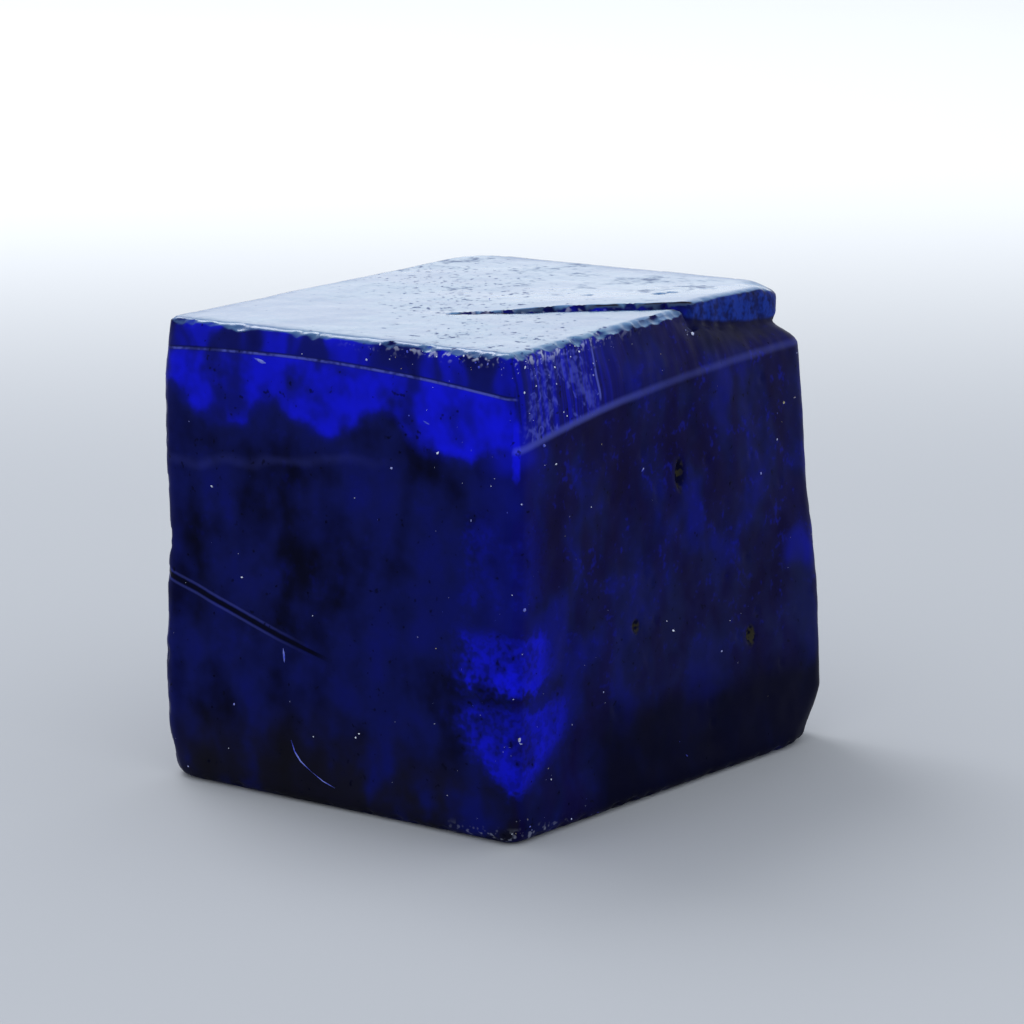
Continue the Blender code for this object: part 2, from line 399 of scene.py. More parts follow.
def skin_object(settings):
    """The stone's visible skin, with its chips, pits and relief."""
    mesh = fine_skin(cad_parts[STONE], settings.cell)
    points, normals = read_points(mesh), read_normals(mesh)
    lift_slab(points, settings)
    open_cracks(points, settings)
    roughen(points, normals, settings)
    dice = np.random.default_rng(settings.seed)
    chip_edges(points, settings, dice)
    pit_faces(points, settings, dice)
    points[:, 2] = np.maximum(points[:, 2], 0.0)
    mesh.vertices.foreach_set("co", (points * MM).astype(np.float32).ravel())
    mesh.update()
    mesh.shade_smooth()
    mesh.set_sharp_from_angle(angle=radians(50))
    skin = bpy.data.objects.new("tanzanite_skin", mesh)
    bpy.context.scene.collection.objects.link(skin)
    return skin


def skin_material(settings):
    """Blue zoisite: mottled, with bright patches of painted inner light, a few light lines, pits, and a
    lustrous top, pale partly by painted reflection.
    """
    g = Graph("tanzanite_skin")
    spot = g.place()
    x, y, z = g.split(spot)
    nx, ny, nz = g.facing()
    # The ledge under the slab faces up too, but it is as dark as the sides.
    ledge = g.ease(z, 25.85, 25.6) * g.ease(y, 2.5, 3.5) * g.ease(x, 6.0, 8.0)
    top = g.ease(nz, 0.55, 0.85) * (1.0 - ledge)
    scratched = g.ease(ny, -0.45, -0.75)
    banded = g.ease(nx, 0.45, 0.75)
    loose = g.wander(spot, 0.5, 0.9)
    lx, ly, lz = g.split(loose)

    # Four noises do all the clouding: broad, middle, fine, and one drawn out upright.
    broad = g.cloud(loose, 0.17, 1.0, 0.6)
    middle = g.cloud(spot, 0.6, 2.0, 0.6)
    fine = g.cloud(spot, 2.6, 1.0, 0.65)
    columns = g.cloud(g.stretch(loose, (1.0, 1.0, 0.22)), 0.55, 1.0, 0.55)
    frayed = (fine - 0.5) * 1.1 + (middle - 0.5) * 1.8

    # Body colour: deep navy clouded with blue, violet on the banded side, brown low on the scratched side.
    mottle = broad * 0.5 + middle * 0.25 + columns * 0.25
    colour = g.blend(g.ease(mottle, 0.34, 0.56) * (1.0 - banded * 0.15), settings.deep, settings.navy)
    colour = g.blend(g.ease(mottle, 0.50, 0.66) * (0.26 + banded * 0.3), colour, settings.royal_cloud_and_glow)
    violet = g.ease(columns * 0.5 + broad * 0.5, 0.58, 0.44) * banded * 0.45
    colour = g.blend(violet, colour, settings.violet)
    earth = scratched * g.ease(lz + g.size(lx + 1.0) * 0.18, 7.5, 2.0) * g.ease(mottle, 0.64, 0.46)
    colour = g.blend(earth * 0.85, colour, settings.earth)

    # Scratched side: a bright shelf of painted inner light under a light line, lobed below and deepest by the
    # front edge.
    line = SHELF_TOP - g.power(x + 2.5, 2.0) * 0.0040
    lobes = g.size(g.math("SINE", (lx + 12.0) * 0.44)) * 1.8
    shelf_foot = SHELF_FOOT - lobes - g.ease(x, 3.0, 10.5) * 1.4
    shelf = scratched * g.ease(z - line, 0.10, -0.15) * g.ease(lz + frayed * 0.3 - shelf_foot, -0.7, 0.7)
    patchy = g.ease(columns * 0.55 + middle * 0.45, 0.36, 0.60)
    shelf = shelf * (0.42 + 0.18 * g.ease(x, 2.0, 9.0) + 0.32 * patchy)
    over = scratched * g.ease(z - line, 0.0, 0.2) * (0.26 + 0.40 * g.ease(columns, 0.36, 0.60))

    # Front edge: three bright patches of painted inner light with darker breaks, ending in a point near the
    # foot.
    around = x + y - (FRONT_X + FRONT_Y)
    torn_around = around + frayed * 1.7
    torn_z = z + frayed * 1.2
    upper = g.window(torn_around, -3.1, 2.2, 0.9) * g.window(torn_z, *UPPER_PATCH, 1.2)
    middle_patch = g.window(torn_around, -4.2, 3.4, 1.6) * g.window(torn_z, *MIDDLE_PATCH, 0.8)
    taper = g.ease(z, 1.4, 6.0)
    lower = g.window(torn_around, -3.8 * taper, 0.1 + 4.8 * taper, 1.3) * g.window(torn_z, *LOWER_PATCH, 0.6)
    patches = g.most(g.most(upper * 0.42, middle_patch * 0.80), lower * 0.70)
    in_front = g.ease(x - y, 6.0, 12.0)
    patches = patches * (0.56 + 0.26 * patchy + 0.18 * g.ease(fine, 0.36, 0.60)) * in_front
    # A soft halo of painted inner light round the front edge.
    halo = in_front * g.near(around + 0.4, 4.6) * g.window(lz, 9.0, 21.5, 2.0) * 0.34

    # Banded side: painted inner light above the light line, and a bright painted spot by the far edge.
    share = (y - FRONT_Y) / BAND_LENGTH
    rise = 1.0 - g.power(g.most(1.0 - share, 0.0), 2.6)
    band_line = BAND_FOOT + rise * BAND_RISE
    above = banded * g.ease(z - band_line, -0.1, 0.25)
    threads = g.threads(y + z * 0.06, 2.4, 2.0)
    band_glow = above * (0.16 + 0.38 * g.ease(y, -1.0, -8.0)) * (0.7 + 0.4 * g.ease(threads, 0.35, 0.65))
    from_spot = g.power((ly - FAR_SPOT[0]) * 0.6, 2.0) + g.power((lz - FAR_SPOT[1]) * 0.9, 2.0)
    far_spot = banded * g.near(from_spot, 2.2) * 0.50
    # Painted inner light by the top of the front edge and along both far rims.
    corner_glow = (banded + scratched) * in_front * g.near(around, 4.2) * g.window(lz, 19.2, 23.0, 1.6) * 0.66
    far_rim = banded * g.ease(y, 12.4, 14.2) * 0.16 + scratched * g.ease(x, -9.5, -12.8) * 0.16

    # Painted light: these bright masks stand for light from above, scattered by fractures inside the stone,
    # laid into the colour.
    painted_light = g.most(g.most(shelf, over), g.most(patches, halo))
    painted_light = g.most(painted_light, g.most(g.most(band_glow, far_spot), g.most(corner_glow, far_rim)))
    painted_light = painted_light * (0.80 + 0.40 * middle)
    # Painted glints: small light flecks on the sides.
    glints = (banded + scratched * 0.35) * g.ease(fine * 0.55 + middle * 0.45, 0.52, 0.68)
    painted_light = g.most(painted_light, glints * g.ease(lz, 3.0, 9.0) * 0.42)
    colour = g.blend(g.ease(painted_light, 0.0, 0.75), colour, settings.royal_cloud_and_glow)
    colour = g.blend(g.ease(painted_light, 0.35, 1.0), colour, settings.bright)

    # Slate haze across the lower half of the banded side, streaked from top to bottom.
    haze = banded * g.window(lz + ly * 0.05, 6.0, 12.0, 1.6) * g.ease(ly, -9.0, -4.5)
    haze = haze * (0.20 + 0.80 * g.ease(columns * 0.6 + middle * 0.4, 0.40, 0.60))
    colour = g.blend(haze * (0.45 + 0.35 * g.ease(ly, 6.0, 12.0)), colour, settings.haze)
    dark_foot = g.most(
        banded * g.ease(lz, 7.0, 4.0) * g.ease(around, 5.5, 8.5),
        banded * g.ease(z - band_line, 0.4, 1.4) * g.ease(y, 2.0, 5.0) * 0.7,
    )
    colour = g.blend(dark_foot * 0.9, colour, settings.deep)

    # The slab's own wall, above the notch, is a clearer blue.
    slab_foot = WALL_FOOT + g.power((WALL_END - y) / WALL_LENGTH, 2.0) * WALL_CLIMB
    slab_wall = banded * g.ease(z - slab_foot, -0.05, 0.2) * g.ease(y, 3.0, 4.5)
    wall_clouds = g.ease(fine * 0.5 + middle * 0.5, 0.40, 0.60)
    colour = g.blend(slab_wall * (0.25 + 0.75 * wall_clouds), colour, settings.slab)

    # Light lines.
    uneven = 0.25 + 0.75 * g.ease(fine * 0.5 + middle * 0.5 + x * 0.006, 0.40, 0.58)
    first = scratched * g.near(z - line, 0.10, 0.02) * uneven * 0.5
    second = scratched * g.near(z * 0.5 + lz * 0.5 - FAINT_LINE - x * FAINT_CLIMB, 0.45)
    second = second * g.ease(x, 5.0, -3.0) * (0.7 + 0.3 * patchy) * 0.055
    third = banded * g.near(z - band_line - 0.1, 0.32, 0.02) * (0.14 + 0.20 * g.ease(y, 2.0, -9.0))
    from_upright = y - UPRIGHT_LINE[0] + (z - UPRIGHT_LINE[1]) * 0.05
    upright = banded * g.near(from_upright, 0.13, 0.03) * g.window(z, 22.7, 25.4, 0.15) * 0.5
    torn = above * g.window(ly, -12.9, -6.8, 0.5)
    veins = torn * g.near(middle - 0.49, 0.040, 0.004) * g.ease(fine, 0.40, 0.60) * 0.34
    frosted = torn * g.ease(middle * 0.6 + fine * 0.4, 0.48, 0.64) * 0.26
    pale = g.most(g.most(g.most(first, second), g.most(third, upright)), g.most(veins, frosted))
    colour = g.blend(pale, colour, settings.pale)

    # The scratch, with painted shade inside it and light along its lips, and the crack across the top, with
    # painted shade inside it.
    from_end = x - SCRATCH_END
    scratch_line = SCRATCH_HEIGHT - from_end * SCRATCH_FALL - g.math("SINE", from_end * 0.27) * 0.12
    on_scratch = scratched * g.ease(x, -0.9, -2.4)
    lips = on_scratch * g.near(g.size(z - scratch_line) - 0.24, 0.12, 0.02) * g.ease(x, -2.0, -7.0) * 0.14
    colour = g.blend(lips, colour, settings.pale)
    # Painted shade inside the scratch.
    colour = g.blend(on_scratch * g.near(z - scratch_line, 0.17, 0.08), colour, settings.deep)
    from_tip_x, from_tip_y = x - CRACK_TIP[0], y - CRACK_TIP[1]
    crack_line = from_tip_y * CRACK_WAY[0] - from_tip_x * CRACK_WAY[1] + (middle - 0.5) * 0.9
    crack_at = from_tip_x * CRACK_WAY[0] + from_tip_y * CRACK_WAY[1]
    opening = g.near(crack_line, 0.20 + crack_at * 0.04, 0.05 + crack_at * 0.03)
    crack = top * opening * g.ease(crack_at, 0.1, 0.9)

    # Pits of the banded side, darkened inside, with olive dirt in part of each, and dark spots.
    for pit_y, pit_z, width, height in PITS:
        from_pit = g.power((y - pit_y) / width, 2.0) + g.power((z - pit_z) / height, 2.0)
        inside = banded * g.near(from_pit + frayed * 0.7, 1.1, 0.2)
        colour = g.blend(inside * 0.9, colour, settings.deep)
        colour = g.blend(inside * g.ease(fine, 0.46, 0.58), colour, settings.dirt)
    pits = g.ease(fine * 0.7 + middle * 0.3, 0.36, 0.30)
    colour = g.blend(pits * (1.0 - top) * 0.7, colour, settings.deep)
    dull = g.ease(broad * 0.35 + middle * 0.45 + fine * 0.2, 0.53, 0.66) * (0.2 + 0.5 * g.ease(y, -2.0, 3.0))
    edge_wear = g.ease(g.most(g.size(x) - 0.6, g.size(y) - 1.9) + frayed * 0.8, 10.4, 12.2) * 0.4
    # Small pits crowd towards the front corner of the top.
    specks = g.ease(fine * 0.8 + middle * 0.2 + g.near(around, 14.0, 2.0) * 0.09, 0.705, 0.74)
    worn = top * g.most(g.most(dull, edge_wear), g.most(specks * 0.8, crack))

    # Powdery white on chipped rims.
    to_front = g.near(around, 13.0, 3.0)
    rim = g.ease(z, 25.2, 25.8) * (1.0 - top) * g.ease(fine, 0.54, 0.68) * to_front
    foot_rim = in_front * g.ease(z, 1.1, 0.4) * g.ease(fine, 0.58, 0.70) * g.near(around, 6.0, 1.0)
    dust = g.most(rim * 0.6, foot_rim * 0.3)
    colour = g.blend(dust, colour, settings.dust)
    # Painted reflection: the top's pale blue is partly body colour and partly the bright surroundings
    # mirrored at a low angle; worn spots keep the darker stain colour.
    top_body_and_reflection = g.blend(g.ease(mottle, 0.40, 0.60), settings.top_deep_clouds_and_reflection, settings.top)
    colour = g.blend(top, colour, settings.stain)
    colour = g.blend(top * (1.0 - worn), colour, top_body_and_reflection)
    # Painted shade inside the crack.
    colour = g.blend(crack, colour, settings.crack_painted_shade)

    # Gloss.
    roughness = 0.24 + fine * 0.16 + dust * 0.3 + torn * 0.1 + haze * 0.1 + worn * 0.25
    g.finish(
        Base_Color=colour,
        Roughness=roughness,
        Coat_Weight=top * (1.0 - worn),
        Coat_Roughness=0.16,
        Coat_IOR=settings.ior,
        IOR=settings.ior,
        Specular_IOR_Level=SIDE_GLOSS,
        Specular_Tint=SIDE_TINT,
        Transmission_Weight=settings.clearness,
    )
    inside = g.add(
        "ShaderNodeVolumeAbsorption",
        None,
        {"Color": settings.absorption, "Density": settings.absorption_density},
    )
    g.put(g.exit.inputs["Volume"], inside)
    return g.material


# ---------------------------------------------------------------- pale grains and marks

# Where white grains crowd, and how wide each cluster is.
DUSTY_CHIPS = (
    ((10.9, -13.6, 5.5), 0.7),
    ((10.9, -13.6, 0.8), 1.1),
    ((10.6, 3.2, 24.6), 0.8),
    ((10.9, -10.9, 3.4), 0.6),
)


def dustiness(points, normals):
    """How thickly pale grains sit at each point of the skin, from 0 to 1."""
    x, y, z = points.T
    around = x + y - (FRONT_X + FRONT_Y)
    top = ease(normals[:, 2], 0.5, 0.8)
    in_front = ease(x - y, 6.0, 12.0)
    front_edge = in_front * (1 - ease(np.abs(around), 0.2, 1.3)) * (1 - top)
    front_corner = 1 - ease(np.hypot(x - FRONT_X, y - FRONT_Y), 3.0, 15.0)
    rim = ease(z, TOP - 1.3, TOP - 0.4) * (1 - top) * front_corner
    foot = in_front * (1 - ease(z, 0.4, 2.2)) * (1 - ease(np.abs(around - 2.0), 2.0, 8.0))
    torn = ease(normals[:, 0], 0.5, 0.9) * ease(z, 21.0, 22.5) * (1 - ease(y, -7.0, -6.0))
    spots = ease(lumps(points, 2.6, 2, (21.0, 3.0, 15.0)), 0.0, 0.35)
    beside = in_front * (1 - ease(np.abs(around), 2.0, 9.0)) * (1 - top) * 0.03
    under_rim = ease(z, TOP - 3.0, TOP - 1.0) * (1 - top) * front_corner * 0.10
    everywhere = 0.010 * (1 - top) + 0.001 * top
    chips = sum(
        1 - ease(np.linalg.norm(points - np.array(place), axis=1), 0.3 * reach, reach)
        for place, reach in DUSTY_CHIPS
    )
    edges = 0.10 * front_edge * spots + 0.9 * rim + 0.35 * foot * spots
    # None at the very foot, so that the stone still rests flat.
    return np.clip(edges + 0.05 * torn + beside + under_rim + everywhere + chips, 0, 1) * ease(z, 0.15, 0.35)


def grain_tree(material):
    """Tiny uneven grains scattered over a surface by its dusty attribute, most of them very small."""
    tree = bpy.data.node_groups.new("stone_grains", "GeometryNodeTree")
    sockets = (
        ("Geometry", "NodeSocketGeometry", None),
        ("Density", "NodeSocketFloat", 6.0e6),
        ("Smallest", "NodeSocketFloat", 0.00003),
        ("Largest", "NodeSocketFloat", 0.00013),
        ("Seed", "NodeSocketInt", 5),
    )
    for name, kind, value in sockets:
        socket = tree.interface.new_socket(name, in_out="INPUT", socket_type=kind)
        if value is not None:
            socket.default_value = value
    tree.interface.new_socket("Geometry", in_out="OUTPUT", socket_type="NodeSocketGeometry")

    def add(kind, settings=None, links=None):
        node = tree.nodes.new(kind)
        for name, value in (settings or {}).items():
            setattr(node, name, value)
        for name, value in (links or {}).items():
            if isinstance(value, bpy.types.NodeSocket):
                tree.links.new(value, node.inputs[name])
            else:
                node.inputs[name].default_value = value
        return node

    entry = add("NodeGroupInput").outputs
    dusty = add("GeometryNodeInputNamedAttribute", {"data_type": "FLOAT"}, {"Name": "dusty"})
    dusty = dusty.outputs["Attribute"]
    crowd = add("ShaderNodeMath", {"operation": "MULTIPLY"}, {0: dusty, 1: entry["Density"]}).outputs[0]
    scatter = add(
        "GeometryNodeDistributePointsOnFaces",
        {"distribute_method": "RANDOM"},
        {"Mesh": entry["Geometry"], "Density": crowd, "Seed": entry["Seed"]},
    )
    pebble = add("GeometryNodeMeshIcoSphere", None, {"Radius": 0.5, "Subdivisions": 1}).outputs["Mesh"]
    chance = add("FunctionNodeRandomValue", {"data_type": "FLOAT"}, {"Seed": entry["Seed"]}).outputs[1]
    rare = add("ShaderNodeMath", {"operation": "POWER"}, {0: chance, 1: 4.0}).outputs[0]
    size = add(
        "ShaderNodeMapRange", None, {"Value": rare, "To Min": entry["Smallest"], "To Max": entry["Largest"]}
    ).outputs[0]
    vector = {"data_type": "FLOAT_VECTOR"}
    widths = {"Min": (0.6, 0.4, 0.4), "Max": (1.7, 1.2, 1.2)}
    shape = add("FunctionNodeRandomValue", vector, widths).outputs[0]
    scale = add("ShaderNodeVectorMath", {"operation": "SCALE"}, {0: shape, "Scale": size}).outputs[0]
    turn = add("FunctionNodeRandomValue", vector, {"Min": (0.0,) * 3, "Max": (2 * pi,) * 3}).outputs[0]
    placed = add(
        "GeometryNodeInstanceOnPoints",
        None,
        {"Points": scatter.outputs["Points"], "Instance": pebble, "Rotation": turn, "Scale": scale},
    )
    real = add("GeometryNodeRealizeInstances", None, {"Geometry": placed.outputs[0]})
    painted = add("GeometryNodeSetMaterial", None, {"Geometry": real.outputs[0], "Material": material})
    add("NodeGroupOutput", None, {"Geometry": painted.outputs[0]})
    return tree


def grains_object(settings, skin):
    """Pale grains caught on the skin's edges and rims."""
    mesh = skin.data.copy()
    amount = dustiness(read_points(mesh), read_normals(mesh))
    mesh.attributes.new("dusty", "FLOAT", "POINT").data.foreach_set("value", amount.astype(np.float32))
    thing = bpy.data.objects.new("grain_bed", mesh)
    bpy.context.scene.collection.objects.link(thing)
    material = pale_material(settings)
    modifier = thing.modifiers.new("grains", "NODES")
    tree = grain_tree(material)
    modifier.node_group = tree
    chosen = {
        "Density": settings.density,
        "Smallest": settings.smallest,
        "Largest": settings.largest,
        "Seed": settings.seed,
    }
    for socket in tree.interface.items_tree:
        if socket.in_out == "INPUT" and socket.name in chosen:
            modifier[socket.identifier] = chosen[socket.name]
    grains = bpy.data.objects.new("pale_grains", as_plain_mesh(thing, "pale_grains"))
    bpy.context.scene.collection.objects.link(grains)
    return grains


def pale_material(settings):
    """Crushed zoisite: white where it is freshly broken, blue or olive where it is stained."""
    g = Graph("pale_grain")
    spot = g.place()
    stain = g.cloud(spot, 0.8, 1.0)
    colour = g.blend(g.ease(stain, 0.36, 0.60), settings.blue_grain, settings.pale_grain)
    colour = g.blend(g.ease(g.cloud(spot, 1.7, 0.0), 0.66, 0.74), colour, settings.olive_grain)
    rough = 0.35 + 0.3 * stain
    relief = g.bump(g.cloud(spot, 20.0, 1.0), 0.01)
    return g.finish(Base_Color=colour, Roughness=rough, Normal=relief, Specular_IOR_Level=0.4)


# Short light marks on the scratched side: the points along each, as (x, z), and its half width.
MARKS = (
    (((-4.35, 8.5), (-4.3, 8.1), (-4.28, 7.7)), 0.07),
    (((-3.75, 3.5), (-3.5, 2.9), (-3.1, 2.4), (-2.4, 1.9)), 0.05),
    (((-2.4, 1.9), (-1.7, 1.5), (-0.9, 1.25)), 0.03),
    (((-6.1, 24.2), (-5.6, 24.05), (-5.3, 24.0)), 0.10),
    (((5.1, 22.1), (5.5, 21.95)), 0.05),
)


def marks_object(settings, skin):
    """Low tapered ridges on the scratched side, where the stone is bruised white."""
    graph = bpy.context.evaluated_depsgraph_get()
    tree = BVHTree.FromObject(skin, graph)
    shape = bmesh.new()
    for points, half in MARKS:
        route = [Vector((x, 0.0, z)) for x, z in points]
        steps = 6 * (len(route) - 1)
        rings = []
        for step in range(steps + 1):
            share = step / steps * (len(route) - 1)
            number = min(int(share), len(route) - 2)
            middle = route[number].lerp(route[number + 1], share - number)
            way = (route[number + 1] - route[number]).normalized()
            width = half * max(sin(pi * step / steps), 0.15)
            start = Vector((middle.x, LOW[1] - 5.0, middle.z)) * MM
            hit = tree.ray_cast(start, Vector((0, 1, 0)))[0]
            centre = Vector((middle.x, hit.y / MM, middle.z))
            across = way.cross(Vector((0, -1, 0)))
            corners = (across * width, Vector((0, -0.4 * width, 0)), across * -width, Vector((0, 0.08, 0)))
            rings.append([shape.verts.new((centre + corner) * MM) for corner in corners])
        for first, second in zip(rings, rings[1:]):
            for side in range(4):
                after = (side + 1) % 4
                shape.faces.new((first[side], first[after], second[after], second[side]))
        shape.faces.new(rings[0])
        shape.faces.new(reversed(rings[-1]))
    bmesh.ops.recalc_face_normals(shape, faces=shape.faces)
    mesh = bpy.data.meshes.new("light_marks")
    shape.to_mesh(mesh)
    shape.free()
    mesh.materials.append(bruise_material(settings))
    marks = bpy.data.objects.new("light_marks", mesh)
    bpy.context.scene.collection.objects.link(marks)
    return marks


def bruise_material(settings):
    """Bruised zoisite, between the blue of the body and the white of fresh powder."""
    g = Graph("bruise")
    spot = g.place()
    patchy = g.cloud(spot, 3.0, 2.0)
    colour = g.blend(g.ease(patchy, 0.35, 0.65), settings.blue_grain, settings.bruise)
    relief = g.bump(patchy, 0.02)
    return g.finish(Base_Color=colour, Roughness=0.4 + 0.3 * patchy, Normal=relief, Specular_IOR_Level=0.2)


# ---------------------------------------------------------------- veils sealed in the stone

# Each veil: its middle, its two half axes (all in millimetres), and how far it is crumpled.
VEILS = (
    ((-3.5, -10.6, 21.6), (7.0, 0.2, -0.3), (0.3, 1.2, -1.7), 0.30),
    ((5.0, -10.4, 20.8), (4.0, 0.4, -0.5), (0.2, 1.4, -1.6), 0.30),
    ((7.6, -6.0, 21.6), (0.3, 4.6, 0.6), (-1.4, 0.2, -1.4), 0.25),
    ((7.4, 3.4, 21.4), (0.2, 6.5, 0.4), (-1.3, 0.0, -1.0), 0.20),
    ((7.9, -10.8, 15.0), (1.8, 1.8, 0.2), (0.5, -0.2, 2.8), 0.30),
    ((7.9, -10.8, 9.9), (1.9, 1.9, 0.0), (0.1, 0.1, 1.5), 0.30),
    ((7.9, -10.8, 5.6), (1.9, 1.9, 0.5), (0.2, -0.2, 1.9), 0.30),
    ((8.2, 9.6, 11.4), (0.4, 1.8, 0.3), (-0.6, 0.2, 1.1), 0.25),
)
VEIL_STEPS = (26, 14)
VEIL_THICKNESS = 0.03


def veils_object(settings):
    """Old healed fractures: thin crumpled closed sheets behind the bright patches."""
    shape = bmesh.new()
    for number, (middle, long_axis, short_axis, crumple) in enumerate(VEILS):
        middle, long_axis, short_axis = Vector(middle), Vector(long_axis), Vector(short_axis)
        flat = long_axis.cross(short_axis).normalized()
        spokes, hoops = VEIL_STEPS
        sheets = []
        for side in (0.5, -0.5):
            centre = shape.verts.new(veil_point(middle, flat, crumple, number, side) * MM)
            rings = []
            for hoop in range(1, hoops + 1):
                reach = hoop / hoops
                ring = []
                for spoke in range(spokes):
                    angle = 2 * pi * spoke / spokes
                    # A lobed outline, like the torn edge of a healed crack.
                    lobe = 1.0 + 0.16 * noise.noise(Vector((2 * cos(angle), 2 * sin(angle), 7.0 * number)))
                    along = long_axis * (reach * lobe * cos(angle)) + short_axis * (reach * lobe * sin(angle))
                    if hoop == hoops and side < 0:
                        ring = sheets[0][1][-1]
                        break
                    thin = side * (1 - reach**4)
                    ring.append(shape.verts.new(veil_point(middle + along, flat, crumple, number, thin) * MM))
                rings.append(ring)
            sheets.append((centre, rings))
        for centre, rings in sheets:
            for spoke in range(spokes):
                after = (spoke + 1) % spokes
                shape.faces.new((centre, rings[0][spoke], rings[0][after]))
                for inner, outer in zip(rings, rings[1:]):
                    shape.faces.new((inner[spoke], outer[spoke], outer[after], inner[after]))
    bmesh.ops.recalc_face_normals(shape, faces=shape.faces)
    mesh = bpy.data.meshes.new("inner_veils")
    shape.to_mesh(mesh)
    shape.free()
    mesh.shade_smooth()
    mesh.materials.append(veil_material(settings))
    veils = bpy.data.objects.new("inner_veils", mesh)
    bpy.context.scene.collection.objects.link(veils)
    return veils


def veil_point(point, flat, crumple, number, side):
    """A point of a veil, pushed along the veil's own direction by its crumpling and its thickness."""
    swell = noise.fractal(point * 0.45 + Vector((0.0, 0.0, 11.0 * number)), 1.0, 2.0, 3)
    return point + flat * (crumple * swell + VEIL_THICKNESS * side)


def veil_material(settings):
    """A healed crack: blue, brighter where tiny bubbles crowd."""
    g = Graph("inner_veil")
    spot = g.place()
    bubbles = g.cloud(spot, 1.6, 2.0)
    colour = g.blend(g.ease(bubbles, 0.40, 0.62), settings.blue_grain, settings.veil)
    return g.finish(Base_Color=colour, Roughness=0.4 + 0.3 * bubbles, Normal=g.bump(bubbles, 0.02), IOR=1.33)


# ---------------------------------------------------------------- settings


def colour_setting(name, description, default):
    return bpy.props.FloatVectorProperty(
        name=name, description=description, subtype="COLOR", size=3, min=0.0, max=1.0, default=default
    )


def length_setting(name, description, default):
    return bpy.props.FloatProperty(name=name, description=description, default=default, unit="LENGTH")


def amount_setting(name, description, default):
    return bpy.props.FloatProperty(name=name, description=description, default=default)


class TanzaniteSkin(bpy.types.PropertyGroup):
    cell: bpy.props.FloatProperty(
        name="Cell", description="Size of the skin's quads", default=0.00022, min=0.0001, unit="LENGTH"
    )
    relief: bpy.props.FloatProperty(
        name="Relief", description="Depth of the unevenness", default=1.0, min=0.0
    )
    slab_lift: length_setting("Slab lift", "How far the slab stands up", 0.0002)
    crack_depth: length_setting("Crack depth", "How much deeper the top's crack is", 0.0005)
    corner_wear: length_setting("Corner wear", "How worn the slab's far corner is", 0.0004)
    chip_depth: amount_setting("Chip depth", "Depth of chips and pits", 1.0)
    seed: bpy.props.IntProperty(name="Seed", description="Which chips and pits the stone has", default=11)
    deep: colour_setting("Deep", "Darkest body colour", (0.0020, 0.0023, 0.010))
    navy: colour_setting("Navy", "Middle body colour", (0.0050, 0.0076, 0.076))
    # This blue colours the clouds in the body and also the dimmer painted inner light.
    royal_cloud_and_glow: colour_setting("Royal", "Clouds in the body", (0.005, 0.0075, 0.22))
    # The brightest painted inner light.
    bright: colour_setting("Bright", "The brightest patches", (0.007, 0.009, 0.72))
    violet: colour_setting("Violet", "Violet cast on the banded side", (0.006, 0.0022, 0.05))
    earth: colour_setting("Earth", "Brown cast low on the scratched side", (0.0075, 0.0072, 0.010))
    dirt: colour_setting("Dirt", "Olive dirt caught in the pits", (0.030, 0.028, 0.016))
    haze: colour_setting("Haze", "Slate haze on the banded side", (0.008, 0.011, 0.052))
    pale: colour_setting("Pale", "Light lines and veins", (0.13, 0.16, 0.75))
    dust: colour_setting("Dust", "Powder on chipped rims", (0.55, 0.60, 0.80))
    # The two top colours are partly body colour and partly painted reflection of the bright surroundings.
    top: colour_setting("Top", "Body colour seen through the top", (0.06, 0.20, 0.41))
    top_deep_clouds_and_reflection: colour_setting("Top shade", "Deeper clouds seen through the top", (0.035, 0.145, 0.37))
    stain: colour_setting("Stain", "Worn spots on the top", (0.010, 0.024, 0.14))
    # Painted shade inside the crack across the top.
    crack_painted_shade: colour_setting("Crack shade", "Inside the crack across the top", (0.001, 0.001, 0.004))
    slab: colour_setting("Slab", "The slab's wall above the notch", (0.008, 0.030, 0.26))
    absorption: colour_setting("Absorption", "Colour that the clear stone lets through", (0.0, 0.0, 0.83))
    absorption_density: amount_setting("Absorption density", "How fast light dims inside, per metre", 1500.0)
    ior: amount_setting("IOR", "Refractive index of zoisite", 1.69)
    clearness: bpy.props.FloatProperty(
        name="Clearness", description="Share of light let into the stone", default=0.09, min=0.0, max=1.0
    )


class TanzaniteGrains(bpy.types.PropertyGroup):
    density: amount_setting("Density", "Grains per square metre, at most", 6.0e6)
    smallest: length_setting("Smallest", "Width of the smallest grain", 0.00003)
    largest: length_setting("Largest", "Width of the largest grain", 0.00019)
    seed: bpy.props.IntProperty(name="Seed", description="Where the grains fall", default=5)
    pale_grain: colour_setting("Pale grain", "Freshly crushed stone", (0.72, 0.78, 0.92))
    blue_grain: colour_setting("Blue grain", "Crushed stone still full of blue", (0.03, 0.05, 0.50))
    olive_grain: colour_setting("Olive grain", "Grains of dirt", (0.30, 0.27, 0.14))
    bruise: colour_setting("Bruise", "Light marks on the scratched side", (0.16, 0.20, 0.62))
    veil: colour_setting("Veil", "Bright parts of the inner veils", (0.20, 0.30, 1.0))


